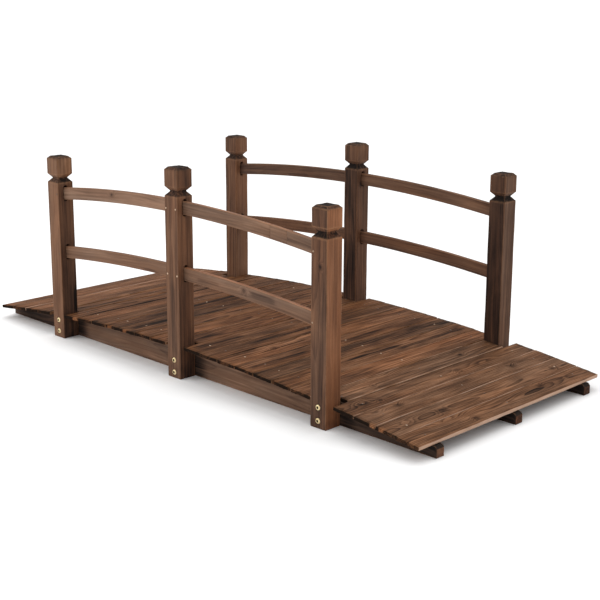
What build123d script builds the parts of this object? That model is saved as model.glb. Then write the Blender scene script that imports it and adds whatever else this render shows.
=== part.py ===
from build123d import *
from math import atan2, cos, radians, sin, sqrt
import os

# Arched garden footbridge with post-and-rail sides, in fir.
# +X runs along the bridge, +Y across it, +Z up. The near railing is at -Y and the far one at +Y.
# The origin is on the ground, under the middle of the deck. Millimetres.

# ---- driving dimensions ----
bay_length = 476.0  # from one post's centre to the next, along X
post_side = 46.2  # square section
post_outer_y = 328.6  # outer face of each railing's posts
end_post_height = 479.5
middle_post_height = 504.5
crown_chamfer = 6.3  # sloped edge round the post's top
head_height = 39.5  # straight sides of the head, above the groove
groove_depth = 9.2  # V groove round the post, under its head
groove_half_height = 10.7

stringer_thickness = 25.0
stringer_length = 1524.0
stringer_end_chamfer = 6.0

board_thickness = 9.0
bay_board_width = 59.3
ramp_board_width = 58.5
board_ease = 1.4  # rounding of the boards' long edges
full_board_length = 660.0
post_board_length = 562.0  # the boards that fit between facing posts
end_post_board_x = 485.5  # centre of the board between the end posts, just past their centres
bay_board_pitch = 60.1
bay_first_x = 62.5  # centre of the first full board either side of the middle
ramp_board_pitch = 59.0
ramp_first_x = 548.0  # centre of the first board past an end post
boards_in_bay = 7
boards_in_ramp = 4

deck_crown_height = 82.0  # top of the deck above the ground, at the middle
deck_radius = 6000.0  # of the deck's top

rail_thickness = 11.0
rail_height = 31.5
top_rail_radius = 3870.0
lower_rail_radius = 4300.0
rail_ease = 1.2  # small slope planed along the rails' long edges
top_rail_crown = 426.5  # top edge of the upper rail at the middle of the bridge
lower_rail_crown = 270.0

mortise_width = 14.0
mortise_height = 40.5
mortise_depth = 14.0
mortise_below_rail = 4.2  # from the rail's underside down to the bottom of the round end

top_rail = (top_rail_crown, top_rail_radius)
lower_rail = (lower_rail_crown, lower_rail_radius)
post_inner_y = post_outer_y - post_side
post_centre_y = post_outer_y - post_side / 2


def drop(x, radius):
    """How far an arc with its crown at x = 0 has fallen at x."""
    return radius - sqrt(radius * radius - x * x)


# ---- posts ----
def make_post(x, y, height, mortise_sides):
    """A square post with a head over a V groove, and a round-ended mortise for each rail end.
    mortise_sides holds -1 and/or 1 for the post's -X and +X faces."""
    base = Plane(origin=(x, y, 0), x_dir=(1, 0, 0), z_dir=(0, 0, 1))
    head_top = height - crown_chamfer
    head_base = head_top - head_height
    neck = head_base - groove_half_height
    shoulder = neck - groove_half_height
    neck_side = post_side - 2 * groove_depth
    with BuildPart() as post:
        with BuildSketch(base):
            Rectangle(post_side, post_side)
        extrude(amount=shoulder)
        with BuildSketch(base.offset(shoulder)):
            Rectangle(post_side, post_side)
        with BuildSketch(base.offset(neck)):
            Rectangle(neck_side, neck_side)
        loft()
        with BuildSketch(base.offset(neck)):
            Rectangle(neck_side, neck_side)
        with BuildSketch(base.offset(head_base)):
            Rectangle(post_side, post_side)
        loft()
        with BuildSketch(base.offset(head_base)):
            Rectangle(post_side, post_side)
        extrude(amount=height - head_base)
        chamfer(post.faces().sort_by(Axis.Z)[-1].edges(), length=crown_chamfer)
        for side in mortise_sides:
            face_x = x + side * post_side / 2
            for crown, radius in (top_rail, lower_rail):
                rail_bottom = crown - drop(face_x, radius) - rail_height
                slot_mid = rail_bottom - mortise_below_rail + mortise_height / 2
                slot_plane = Plane(
                    origin=(face_x, y, slot_mid), x_dir=(0, 1, 0), z_dir=(1, 0, 0)
                )
                with BuildSketch(slot_plane):
                    SlotOverall(mortise_height, mortise_width, rotation=90)
                extrude(amount=-side * mortise_depth, mode=Mode.SUBTRACT)
    return post


near_left_post = make_post(-bay_length, -post_centre_y, end_post_height, (1,))
near_middle_post = make_post(0, -post_centre_y, middle_post_height, (-1, 1))
near_right_post = make_post(bay_length, -post_centre_y, end_post_height, (-1,))
far_left_post = make_post(-bay_length, post_centre_y, end_post_height, (1,))
far_middle_post = make_post(0, post_centre_y, middle_post_height, (-1, 1))
far_right_post = make_post(bay_length, post_centre_y, end_post_height, (-1,))


# ---- rails ----
def make_rail(side_x, y, curve):
    """One bay's rail: a flat board sawn to an arc, its ends housed in the posts' mortises."""
    crown, radius = curve
    inner = side_x * (post_side / 2 - mortise_depth)
    outer = side_x * (bay_length - post_side / 2 + mortise_depth)
    x0, x1 = min(inner, outer), max(inner, outer)
    xm = (x0 + x1) / 2
    plane = Plane(
        origin=(0, y + rail_thickness / 2, 0), x_dir=(1, 0, 0), z_dir=(0, -1, 0)
    )

    def top(x):
        return (x, crown - drop(x, radius))

    def bottom(x):
        return (x, crown - drop(x, radius) - rail_height)

    with BuildPart() as rail:
        with BuildSketch(plane):
            with BuildLine():
                ThreePointArc(top(x0), top(xm), top(x1))
                Line(top(x1), bottom(x1))
                ThreePointArc(bottom(x1), bottom(xm), bottom(x0))
                Line(bottom(x0), top(x0))
            make_face()
        extrude(amount=rail_thickness)
        chamfer(rail.edges().filter_by(GeomType.CIRCLE), length=rail_ease)
    return rail


near_left_top_rail = make_rail(-1, -post_centre_y, top_rail)
near_left_lower_rail = make_rail(-1, -post_centre_y, lower_rail)
near_right_top_rail = make_rail(1, -post_centre_y, top_rail)
near_right_lower_rail = make_rail(1, -post_centre_y, lower_rail)
far_left_top_rail = make_rail(-1, post_centre_y, top_rail)
far_left_lower_rail = make_rail(-1, post_centre_y, lower_rail)
far_right_top_rail = make_rail(1, post_centre_y, top_rail)
far_right_lower_rail = make_rail(1, post_centre_y, lower_rail)


# ---- stringers ----
def make_stringer(y):
    """A board on edge, flat underneath and sawn to the deck's arc on top, with its end corners cut off."""
    half = stringer_length / 2
    radius = deck_radius - board_thickness
    crown = deck_crown_height - board_thickness
    cut = stringer_end_chamfer
    arc_end = half - cut
    arc_end_z = crown - drop(arc_end, radius)
    plane = Plane(
        origin=(0, y + stringer_thickness / 2, 0), x_dir=(1, 0, 0), z_dir=(0, -1, 0)
    )
    with BuildPart() as stringer:
        with BuildSketch(plane):
            with BuildLine():
                ThreePointArc((-arc_end, arc_end_z), (0, crown), (arc_end, arc_end_z))
                Polyline(
                    (arc_end, arc_end_z),
                    (half, arc_end_z - cut),
                    (half, 0),
                    (-half, 0),
                    (-half, arc_end_z - cut),
                    (-arc_end, arc_end_z),
                )
            make_face()
        extrude(amount=stringer_thickness)
    return stringer


near_stringer = make_stringer(-(post_inner_y - stringer_thickness / 2))
middle_stringer = make_stringer(0)
far_stringer = make_stringer(post_inner_y - stringer_thickness / 2)


# ---- deck boards ----
def make_board(x, length, width):
    """A plank across the bridge, lying on the stringers' arc with its middle at x."""
    slope = atan2(x, sqrt(deck_radius**2 - x * x))
    plane = Plane(
        origin=(x, 0, deck_crown_height - drop(x, deck_radius)),
        x_dir=(cos(slope), 0, -sin(slope)),
        z_dir=(0, -1, 0),
    )
    with BuildPart() as board:
        with BuildSketch(plane) as section:
            Rectangle(width, board_thickness, align=(Align.CENTER, Align.MAX))
            fillet(section.vertices(), radius=board_ease)
        extrude(amount=length / 2, both=True)
    return board


boards = {}
boards["left_post_board"] = make_board(
    -end_post_board_x, post_board_length, bay_board_width
)
boards["middle_post_board"] = make_board(0, post_board_length, bay_board_width)
boards["right_post_board"] = make_board(
    end_post_board_x, post_board_length, bay_board_width
)
for n in range(boards_in_bay):
    offset_x = bay_first_x + n * bay_board_pitch
    boards[f"left_bay_board_{n + 1}"] = make_board(
        -offset_x, full_board_length, bay_board_width
    )
    boards[f"right_bay_board_{n + 1}"] = make_board(
        offset_x, full_board_length, bay_board_width
    )
for n in range(boards_in_ramp):
    offset_x = ramp_first_x + n * ramp_board_pitch
    boards[f"left_ramp_board_{n + 1}"] = make_board(
        -offset_x, full_board_length, ramp_board_width
    )
    boards[f"right_ramp_board_{n + 1}"] = make_board(
        offset_x, full_board_length, ramp_board_width
    )

# ---- labels and files ----
pieces = {
    "near_left_post": near_left_post,
    "near_middle_post": near_middle_post,
    "near_right_post": near_right_post,
    "far_left_post": far_left_post,
    "far_middle_post": far_middle_post,
    "far_right_post": far_right_post,
    "near_left_top_rail": near_left_top_rail,
    "near_left_lower_rail": near_left_lower_rail,
    "near_right_top_rail": near_right_top_rail,
    "near_right_lower_rail": near_right_lower_rail,
    "far_left_top_rail": far_left_top_rail,
    "far_left_lower_rail": far_left_lower_rail,
    "far_right_top_rail": far_right_top_rail,
    "far_right_lower_rail": far_right_lower_rail,
    "near_stringer": near_stringer,
    "middle_stringer": middle_stringer,
    "far_stringer": far_stringer,
    **boards,
}

os.makedirs("parts", exist_ok=True)
for name, piece in pieces.items():
    piece.part.label = name
    export_step(piece.part, f"parts/{name}.step")
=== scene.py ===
import math

import bpy
import numpy as np
from mathutils import Matrix, Vector


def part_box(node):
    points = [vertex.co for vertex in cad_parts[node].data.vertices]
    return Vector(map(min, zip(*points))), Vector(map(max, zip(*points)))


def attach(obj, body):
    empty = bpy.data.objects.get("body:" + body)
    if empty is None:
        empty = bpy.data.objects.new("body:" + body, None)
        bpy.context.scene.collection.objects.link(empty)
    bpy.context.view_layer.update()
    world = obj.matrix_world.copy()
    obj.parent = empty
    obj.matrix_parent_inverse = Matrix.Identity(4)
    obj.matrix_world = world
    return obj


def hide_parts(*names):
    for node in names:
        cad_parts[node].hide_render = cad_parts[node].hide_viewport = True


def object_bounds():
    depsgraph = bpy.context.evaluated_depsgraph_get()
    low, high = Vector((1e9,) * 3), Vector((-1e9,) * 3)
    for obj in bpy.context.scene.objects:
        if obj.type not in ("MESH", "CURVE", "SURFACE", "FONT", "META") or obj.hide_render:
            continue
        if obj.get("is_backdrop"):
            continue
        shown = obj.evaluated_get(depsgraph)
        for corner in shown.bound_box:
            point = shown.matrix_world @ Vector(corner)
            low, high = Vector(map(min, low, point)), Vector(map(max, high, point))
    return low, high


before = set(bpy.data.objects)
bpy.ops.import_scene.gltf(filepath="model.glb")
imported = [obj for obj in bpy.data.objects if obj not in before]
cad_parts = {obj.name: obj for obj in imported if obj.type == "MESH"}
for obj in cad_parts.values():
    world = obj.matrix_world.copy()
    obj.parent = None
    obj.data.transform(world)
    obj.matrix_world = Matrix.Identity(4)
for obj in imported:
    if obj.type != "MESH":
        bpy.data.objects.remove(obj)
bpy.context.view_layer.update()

MM = 0.001
D = bpy.data
SCENE = bpy.context.scene

# ---------------------------------------------------------------- noise in code


def _hash(ix, iy, iz, seed):
    h = (ix * 374761393 + iy * 668265263 + iz * 1442695041 + seed * 1274126177) & 0xFFFFFFFF
    h = ((h ^ (h >> 13)) * 1274126177) & 0xFFFFFFFF
    h = ((h ^ (h >> 15)) * 2246822519) & 0xFFFFFFFF
    h = h ^ (h >> 16)
    return (h & 0xFFFFFF) / float(0x1000000)


def noise(x, y, z, seed=0):
    """Value noise from 0 to 1 at points given as three arrays."""
    x, y, z = np.broadcast_arrays(*(np.asarray(a, float) for a in (x, y, z)))
    cell = [np.floor(a) for a in (x, y, z)]
    f = [a - c for a, c in zip((x, y, z), cell)]
    i = [c.astype(np.int64) for c in cell]
    s = [t * t * (3 - 2 * t) for t in f]
    out = 0
    for dx in (0, 1):
        wx = s[0] if dx else 1 - s[0]
        for dy in (0, 1):
            wy = s[1] if dy else 1 - s[1]
            for dz in (0, 1):
                wz = s[2] if dz else 1 - s[2]
                out = out + wx * wy * wz * _hash(i[0] + dx, i[1] + dy, i[2] + dz, seed)
    return out


def fbm(x, y, z, octaves=3, seed=0):
    total, amp, norm = 0, 1.0, 0.0
    for k in range(octaves):
        total = total + amp * noise(x * 2**k, y * 2**k, z * 2**k, seed + 31 * k)
        norm += amp
        amp *= 0.55
    return total / norm


def rnd(*keys):
    """One fixed number from 0 to 1 for a piece's keys."""
    h = 0
    for k in keys:
        for ch in str(k):
            h = (h * 131 + ord(ch)) & 0xFFFFFFFF
    h = ((h ^ (h >> 13)) * 1274126177) & 0xFFFFFFFF
    h ^= h >> 16
    return ((h * 2654435761) & 0xFFFFFFFF) / 4294967296.0


def smooth(a, b, x):
    t = np.clip((x - a) / (b - a), 0, 1)
    return t * t * (3 - 2 * t)


# ---------------------------------------------------------------- mesh helpers


def rows(half, r, step, extra=()):
    """Grid lines from -half to half, closer together over the rounding r at both ends."""
    n = max(1, int(round(2 * (half - r) / step)))
    inner = list(np.linspace(-(half - r), half - r, n + 1))
    ends = [half, half - 0.3 * r, half - 0.62 * r]
    out = [-e for e in ends] + inner + ends + list(extra)
    return np.array(sorted(set(round(float(v), 7) for v in out)))


def lattice(us, vs, ws):
    """Surface points and quads of a box cut by the planes us, vs and ws. Quads face outwards in a right-handed u, v, w."""
    nu, nv, nw = len(us), len(vs), len(ws)
    mask = np.zeros((nu, nv, nw), bool)
    mask[0] = mask[-1] = True
    mask[:, 0] = mask[:, -1] = True
    mask[:, :, 0] = mask[:, :, -1] = True
    idx = -np.ones((nu, nv, nw), int)
    idx[mask] = np.arange(mask.sum())
    grid = np.meshgrid(us, vs, ws, indexing="ij")
    p = np.stack([g[mask] for g in grid], 1)

    def quads(a, flip):
        q = np.stack([a[:-1, :-1], a[1:, :-1], a[1:, 1:], a[:-1, 1:]], -1).reshape(-1, 4)
        return q[:, ::-1] if flip else q

    q = [
        quads(idx[0], True),
        quads(idx[-1], False),
        quads(idx[:, 0], False),
        quads(idx[:, -1], True),
        quads(idx[:, :, 0], True),
        quads(idx[:, :, -1], False),
    ]
    return p, np.concatenate(q)


def rounded(p, half, r):
    """Points of a box's surface moved onto the same box with rounded edges."""
    half = np.asarray(half, float)
    inner = np.clip(p, -(half - r), half - r)
    d = p - inner
    n = np.linalg.norm(d, axis=1, keepdims=True)
    return inner + d / np.maximum(n, 1e-12) * r


def edge_distance(p, half):
    """For points on a box's surface, how far the nearest edge is."""
    gap = np.sort(np.abs(np.asarray(half, float) - np.abs(p)), axis=1)
    return gap[:, 1]


def normals(p, quads):
    a, b = p[quads[:, 2]] - p[quads[:, 0]], p[quads[:, 3]] - p[quads[:, 1]]
    f = np.cross(a, b)
    out = np.zeros_like(p)
    for k in range(3):
        for c in range(4):
            out[:, k] += np.bincount(quads[:, c], f[:, k], len(p))
    return out / np.maximum(np.linalg.norm(out, axis=1, keepdims=True), 1e-15)


def mesh_object(name, points, faces, smooth_shade=True):
    me = D.meshes.new(name)
    me.from_pydata([tuple(q) for q in points], [], [tuple(int(i) for i in f) for f in faces])
    me.validate()
    if smooth_shade:
        me.polygons.foreach_set("use_smooth", np.ones(len(me.polygons), bool))
    me.update()
    ob = D.objects.new(name, me)
    SCENE.collection.objects.link(ob)
    return ob


def put(ob, name, values):
    me = ob.data
    values = np.asarray(values, np.float32)
    if values.ndim == 1:
        a = me.attributes.new(name, "FLOAT", "POINT")
        a.data.foreach_set("value", values)
    else:
        a = me.attributes.new(name, "FLOAT_VECTOR", "POINT")
        a.data.foreach_set("vector", values.ravel())


def piece(ob, node, material):
    ob.data.materials.clear()
    ob.data.materials.append(material)
    if node:
        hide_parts(node)
    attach(ob, "root")
    return ob


# ---------------------------------------------------------------- node helpers


class Tree:
    def __init__(self, tree):
        self.t = tree
        tree.nodes.clear()

    def new(self, kind, **props):
        n = self.t.nodes.new(kind)
        for k, v in props.items():
            setattr(n, k, v)
        return n

    def link(self, a, b):
        self.t.links.new(a, b)

    def feed(self, socket, value):
        if isinstance(value, bpy.types.NodeSocket):
            self.link(value, socket)
        else:
            socket.default_value = value

    def attr(self, name):
        return self.new("ShaderNodeAttribute", attribute_name=name).outputs

    def math(self, op, a, b=0.0, c=None, clamp=False):
        n = self.new("ShaderNodeMath", operation=op, use_clamp=clamp)
        self.feed(n.inputs[0], a)
        self.feed(n.inputs[1], b)
        if c is not None:
            self.feed(n.inputs[2], c)
        return n.outputs[0]

    def vec(self, op, a, b=(0, 0, 0)):
        n = self.new("ShaderNodeVectorMath", operation=op)
        self.feed(n.inputs[0], a)
        self.feed(n.inputs[1], b)
        return n.outputs[0]

    def split(self, v):
        n = self.new("ShaderNodeSeparateXYZ")
        self.link(v, n.inputs[0])
        return n.outputs

    def join(self, x, y, z):
        n = self.new("ShaderNodeCombineXYZ")
        for s, v in zip(n.inputs, (x, y, z)):
            self.feed(s, v)
        return n.outputs[0]

    def noise(self, v, scale=1.0, detail=2.0, rough=0.5, warp=0.0):
        n = self.new("ShaderNodeTexNoise", noise_dimensions="3D")
        self.link(v, n.inputs["Vector"])
        n.inputs["Scale"].default_value = scale
        n.inputs["Detail"].default_value = detail
        n.inputs["Roughness"].default_value = rough
        n.inputs["Distortion"].default_value = warp
        return n.outputs[0]

    def range(self, v, a, b, lo=0.0, hi=1.0, kind="LINEAR"):
        n = self.new("ShaderNodeMapRange", interpolation_type=kind)
        self.feed(n.inputs["Value"], v)
        n.inputs["From Min"].default_value = a
        n.inputs["From Max"].default_value = b
        n.inputs["To Min"].default_value = lo
        n.inputs["To Max"].default_value = hi
        return n.outputs[0]

    def ramp(self, v, stops, kind="LINEAR"):
        n = self.new("ShaderNodeValToRGB")
        n.color_ramp.interpolation = kind
        e = n.color_ramp.elements
        while len(e) > 1:
            e.remove(e[-1])
        for i, (at, col) in enumerate(stops):
            s = e[0] if i == 0 else e.new(at)
            s.position = at
            s.color = (*col, 1.0) if len(col) == 3 else col
        self.link(v, n.inputs[0])
        return n.outputs[0]

    def mix(self, f, a, b, blend="MIX"):
        n = self.new("ShaderNodeMix", data_type="RGBA", blend_type=blend, clamp_factor=True)
        self.feed(n.inputs[0], f)
        for s, v in ((n.inputs[6], a), (n.inputs[7], b)):
            if isinstance(v, bpy.types.NodeSocket):
                self.link(v, s)
            else:
                s.default_value = (*v, 1.0)
        return n.outputs[2]


def lin(r, g, b):
    """A display colour, 0 to 255, as the linear values that the shader wants."""
    out = []
    for v in (r, g, b):
        v = v / 255.0
        out.append(v / 12.92 if v <= 0.04045 else ((v + 0.055) / 1.055) ** 2.4)
    return tuple(out)


# ---------------------------------------------------------------- fir, stained and scorched, with painted light and shade


def fir(name, ramp, ring_pitch=3.4, ring_mix=0.5, gain=1.0, relief=0.5, spec=0.15, ashen=0.4, rub_mix=0.4, rub_colour=(156, 114, 82), tint=(1, 1, 1), streak=1.0, fibre_mix=0.85, band_mix=0.48, mottle=0.80, knot_dark=0.28):
    """Charred and stained fir. gc is a point in the plank, x along the grain; rc.xy is the same across the grain, from
    the pith; tone is lightness, warmth and greyness, which on posts and stringers also carries painted light and shade;
    mask is edge wear, end grain, and scorching together with painted shade; kn is the distance from the nearest knot in
    knot radii; fig is how much the rings swirl, where a branch lay just under the face. streak shortens the fibres and
    bands along the grain."""
    m = D.materials.new(name)
    m.use_nodes = True
    t = Tree(m.node_tree)
    gc = t.attr("gc")["Vector"]
    rc = t.split(t.attr("rc")["Vector"])
    tone = t.split(t.attr("tone")["Vector"])
    mask = t.split(t.attr("mask")["Vector"])
    kd = t.attr("kn")["Fac"]
    fig = t.attr("fig")["Fac"]
    knot_pull = t.math("EXPONENT", t.math("MULTIPLY", t.math("MULTIPLY", kd, kd), -0.32))

    # growth rings round the pith, waved along the length and pushed aside by knots
    wave = t.noise(t.vec("MULTIPLY", gc, (3.2, 13.0, 13.0)), detail=1.5)
    ripple = t.noise(t.vec("MULTIPLY", gc, (14.0, 75.0, 75.0)), detail=2.0)
    radius = t.math(
        "SQRT", t.math("ADD", t.math("MULTIPLY", rc[0], rc[0]), t.math("MULTIPLY", rc[1], rc[1]))
    )
    radius = t.math("ADD", radius, t.math("MULTIPLY", t.math("SUBTRACT", wave, 0.5), 0.020))
    radius = t.math("ADD", radius, t.math("MULTIPLY", t.math("SUBTRACT", ripple, 0.5), 0.0016))
    radius = t.math("ADD", radius, t.math("MULTIPLY", knot_pull, 0.011))
    radius = t.math("ADD", radius, t.math("MULTIPLY", fig, 0.015))
    radius = t.math("ADD", radius, t.math("MULTIPLY", t.math("MULTIPLY", t.math("SUBTRACT", ripple, 0.5), fig), 0.007))
    phase = t.math("DIVIDE", radius, ring_pitch * MM)
    ring = t.math("FRACT", phase)
    year = t.noise(t.join(t.math("FLOOR", phase), 3.7, 0.5), scale=0.83, detail=0.0)
    late = t.ramp(
        ring,
        [(0.0, (0.55,) * 3), (0.06, (0.05,) * 3), (0.45, (0.16,) * 3), (0.82, (0.75,) * 3), (0.95, (1.0,) * 3), (1.0, (0.6,) * 3)],
    )
    late = t.math("MULTIPLY", late, t.range(year, 0.3, 0.7, 0.45, 1.0))

    # fibres and stain bands along the grain
    fine = t.noise(t.vec("MULTIPLY", gc, (14.0 * streak, 480.0, 480.0)), detail=1.5, rough=0.5)
    fibre = t.noise(t.vec("MULTIPLY", gc, (5.5 * streak, 190.0, 190.0)), detail=2.0, rough=0.5)
    band = t.noise(t.vec("MULTIPLY", gc, (1.6 * streak, 62.0, 62.0)), detail=2.0, rough=0.5)
    blotch = t.noise(t.vec("MULTIPLY", gc, (6.0, 17.0, 17.0)), detail=3.0, rough=0.55, warp=0.4)
    cool = t.noise(t.vec("MULTIPLY", t.vec("ADD", gc, (3.1, 1.7, 0.3)), (3.5, 24.0, 24.0)), detail=2.0)
    speck = t.noise(t.vec("MULTIPLY", gc, (160.0, 420.0, 420.0)), detail=1.0)

    dark = t.math("MULTIPLY", t.math("SUBTRACT", late, 0.4), t.math("ADD", t.math("MULTIPLY", fig, 0.20), ring_mix))
    dark = t.math("ADD", t.math("SUBTRACT", dark, t.math("MULTIPLY", fig, 0.05)), 0.4 * ring_mix)
    dark = t.math("ADD", dark, t.math("MULTIPLY", t.math("SUBTRACT", fibre, 0.5), fibre_mix))
    dark = t.math("ADD", dark, t.math("MULTIPLY", t.math("SUBTRACT", band, 0.5), band_mix))
    dark = t.math("ADD", dark, t.math("MULTIPLY", t.math("SUBTRACT", blotch, 0.5), mottle))
    dark = t.math("ADD", dark, t.math("MULTIPLY", t.math("SUBTRACT", fine, 0.5), 0.20))
    dark = t.math("ADD", dark, t.math("MULTIPLY", t.math("SUBTRACT", speck, 0.5), 0.10))
    dark = t.math("ADD", t.math("MULTIPLY", dark, gain), 0.36)
    # lightness of this plank, with painted light and shade on posts and stringers, then scorching with painted shade,
    # and knots
    dark = t.math("SUBTRACT", dark, tone[0])
    kd = t.math("ADD", kd, t.math("MULTIPLY", t.math("SUBTRACT", t.noise(t.vec("MULTIPLY", gc, (90.0, 160.0, 160.0)), detail=2.0), 0.5), 0.55))
    knot = t.range(kd, 1.25, 0.45, 0.0, 1.0, "SMOOTHSTEP")
    rim = t.math("MULTIPLY", t.range(kd, 2.4, 1.1, 0.0, 1.0, "SMOOTHSTEP"), 0.14)
    dark = t.math("ADD", dark, t.math("MULTIPLY", knot, knot_dark))
    dark = t.math("ADD", dark, rim)
    # mask's third value is scorching together with painted shade in recesses, beside posts and under overhangs
    scorch_and_shade = t.math("MULTIPLY", mask[2], t.range(fibre, 0.25, 0.6, 0.65, 1.1))
    dark = t.math("ADD", dark, t.math("MULTIPLY", scorch_and_shade, 0.62))
    end = mask[1]
    dark = t.math("ADD", dark, t.math("MULTIPLY", end, 0.20))
    dark = t.math("MAXIMUM", t.math("MINIMUM", dark, 1.0), 0.0)
    colour = t.ramp(dark, ramp)

    # greyer, smoke-stained patches; warmer ones where the stain is thin
    grey = t.math("ADD", t.range(cool, 0.42, 0.66, 0.0, 0.35), tone[2], clamp=True)
    lum = t.new("ShaderNodeRGBToBW")
    t.link(colour, lum.inputs[0])
    ash = t.mix(1.0, t.join(lum.outputs[0], lum.outputs[0], lum.outputs[0]), (1.16, 0.98, 0.82), "MULTIPLY")
    colour = t.mix(t.math("MULTIPLY", grey, ashen), colour, ash)
    if tint != (1, 1, 1):
        colour = t.mix(1.0, colour, tint, "MULTIPLY")
    warm = t.math("MULTIPLY", t.math("ADD", tone[1], t.range(cool, 0.45, 0.3, 0.0, 0.25)), 1.0, clamp=True)
    colour = t.mix(warm, colour, t.mix(1.0, colour, (1.17, 0.98, 0.84), "MULTIPLY"))
    # arrises rubbed paler, broken up along the edge
    rub = t.math("MULTIPLY", mask[0], t.range(t.noise(t.vec("MULTIPLY", gc, (40.0, 90.0, 90.0)), detail=3.0), 0.34, 0.60, 0.25, 1.0))
    colour = t.mix(t.math("MULTIPLY", rub, rub_mix), colour, lin(*rub_colour))
    # an edge planed back to bare wood
    bare = t.range(mask[0], 1.5, 2.5, 0.0, 0.85)
    bare = t.math("MULTIPLY", bare, t.range(fibre, 0.2, 0.7, 1.1, 0.75), clamp=True)
    colour = t.mix(bare, colour, lin(190, 160, 140))

    height = t.math("MULTIPLY", late, 0.45)
    height = t.math("ADD", height, t.math("MULTIPLY", fibre, 0.55))
    height = t.math("ADD", height, t.math("MULTIPLY", fine, 0.10))
    height = t.math("SUBTRACT", height, t.math("MULTIPLY", knot, 0.25))
    bump = t.new("ShaderNodeBump")
    bump.inputs["Strength"].default_value = relief
    bump.inputs["Distance"].default_value = 0.0009
    t.link(height, bump.inputs["Height"])

    rough = t.range(dark, 0.1, 0.9, 0.58, 0.82)
    rough = t.math("ADD", rough, t.math("MULTIPLY", t.math("SUBTRACT", fine, 0.5), 0.22))
    rough = t.math("ADD", rough, t.math("MULTIPLY", end, 0.15), clamp=True)
    sh = t.new("ShaderNodeBsdfPrincipled")
    t.link(colour, sh.inputs["Base Color"])
    t.link(rough, sh.inputs["Roughness"])
    t.link(bump.outputs[0], sh.inputs["Normal"])
    sh.inputs["IOR"].default_value = 1.46
    sh.inputs["Specular IOR Level"].default_value = spec
    out = t.new("ShaderNodeOutputMaterial")
    t.link(sh.outputs[0], out.inputs[0])
    return m


DECK_RAMP = [
    (0.0, lin(158, 112, 78)),
    (0.22, lin(128, 88, 60)),
    (0.45, lin(100, 67, 44)),
    (0.65, lin(76, 50, 34)),
    (0.83, lin(50, 34, 25)),
    (1.0, lin(27, 19, 15)),
]
POST_RAMP = [
    (0.0, lin(150, 110, 82)),
    (0.22, lin(122, 86, 62)),
    (0.45, lin(97, 67, 49)),
    (0.65, lin(73, 50, 38)),
    (0.83, lin(48, 34, 28)),
    (1.0, lin(26, 19, 16)),
]
M_DECK = fir("deck_wood", DECK_RAMP, ring_pitch=3.6, ring_mix=0.46, gain=1.0, relief=0.55, spec=0.06, ashen=0.42, tint=(0.94, 0.885, 0.80), streak=2.3, fibre_mix=0.80, band_mix=0.34, mottle=0.85, knot_dark=0.20)
M_POST = fir("post_wood", POST_RAMP, ring_pitch=3.0, ring_mix=0.26, gain=0.74, relief=0.40, rub_colour=(166, 122, 88), tint=(0.97, 0.955, 0.93))
M_RAIL = fir("rail_wood", POST_RAMP, ring_pitch=3.0, ring_mix=0.24, gain=0.64, relief=0.42, ashen=0.6, rub_mix=0.45)
M_STRINGER = fir("stringer_wood", POST_RAMP, ring_pitch=3.6, ring_mix=0.24, gain=0.66, relief=0.42, ashen=0.5)


def metal(name, base, dull, metallic, rough_lo, rough_hi, dent=0.25, stain=None):
    """A plated or galvanised head: fine scratches, tarnish in patches, darker where its stain mask is set: stain on the
    nails, painted shade in a bolt's socket and seat.
    """
    m = D.materials.new(name)
    m.use_nodes = True
    t = Tree(m.node_tree)
    co = t.new("ShaderNodeTexCoord").outputs["Object"]
    tarnish = t.noise(t.vec("MULTIPLY", co, (420.0, 420.0, 420.0)), detail=3.0, rough=0.6)
    scratch = t.noise(t.vec("MULTIPLY", co, (2600.0, 900.0, 3100.0)), detail=2.0)
    f = t.range(tarnish, 0.42, 0.70)
    colour = t.mix(f, base, dull)
    colour = t.mix(t.range(scratch, 0.35, 0.75, 0.0, 0.35), colour, (base[0] * 1.1, base[1] * 1.1, base[2] * 1.1))
    if stain is not None:
        # stain on the nails; on the bolts the same colour is painted shade in the socket and seat
        colour = t.mix(t.attr("stain_and_shade")["Fac"], colour, stain)
    rough = t.math("ADD", t.range(tarnish, 0.3, 0.75, rough_lo, rough_hi), t.range(scratch, 0.3, 0.7, -0.05, 0.08), clamp=True)
    bump = t.new("ShaderNodeBump")
    bump.inputs["Strength"].default_value = dent
    bump.inputs["Distance"].default_value = 0.0002
    t.link(t.math("ADD", scratch, tarnish), bump.inputs["Height"])
    sh = t.new("ShaderNodeBsdfPrincipled")
    t.link(colour, sh.inputs["Base Color"])
    t.link(rough, sh.inputs["Roughness"])
    t.link(bump.outputs[0], sh.inputs["Normal"])
    sh.inputs["Metallic"].default_value = metallic
    out = t.new("ShaderNodeOutputMaterial")
    t.link(sh.outputs[0], out.inputs[0])
    return m


# the brass's stain colour is painted shade, for the bolts' sockets and seats
M_BRASS = metal("bolt_brass", lin(246, 226, 178), lin(200, 166, 112), 0.75, 0.28, 0.5, stain=lin(34, 25, 14))
M_STEEL = metal("nail_steel", lin(206, 176, 146), lin(134, 106, 84), 0.25, 0.45, 0.7, stain=lin(78, 54, 38))


# ---------------------------------------------------------------- sizes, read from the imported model

P = 0.476  # post centre to post centre, along X


def deck_top(x):
    """Height of the deck's surface at x, in metres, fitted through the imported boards."""
    return DECK_Z - (DECK_R - np.sqrt(DECK_R**2 - np.asarray(x, float) ** 2))


DECK_R = 6.0
DECK_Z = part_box("middle_post_board")[1].z

KNOT_NONE = 12.0


def knot_field(u, v, knots):
    """Distance to the nearest knot in units of its radius, for points u along and v across the grain."""
    out = np.full(len(u), KNOT_NONE)
    for ku, kv, kr in knots:
        out = np.minimum(out, np.hypot((u - ku) / (kr * 1.35), (v - kv) / kr))
    return out


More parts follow.
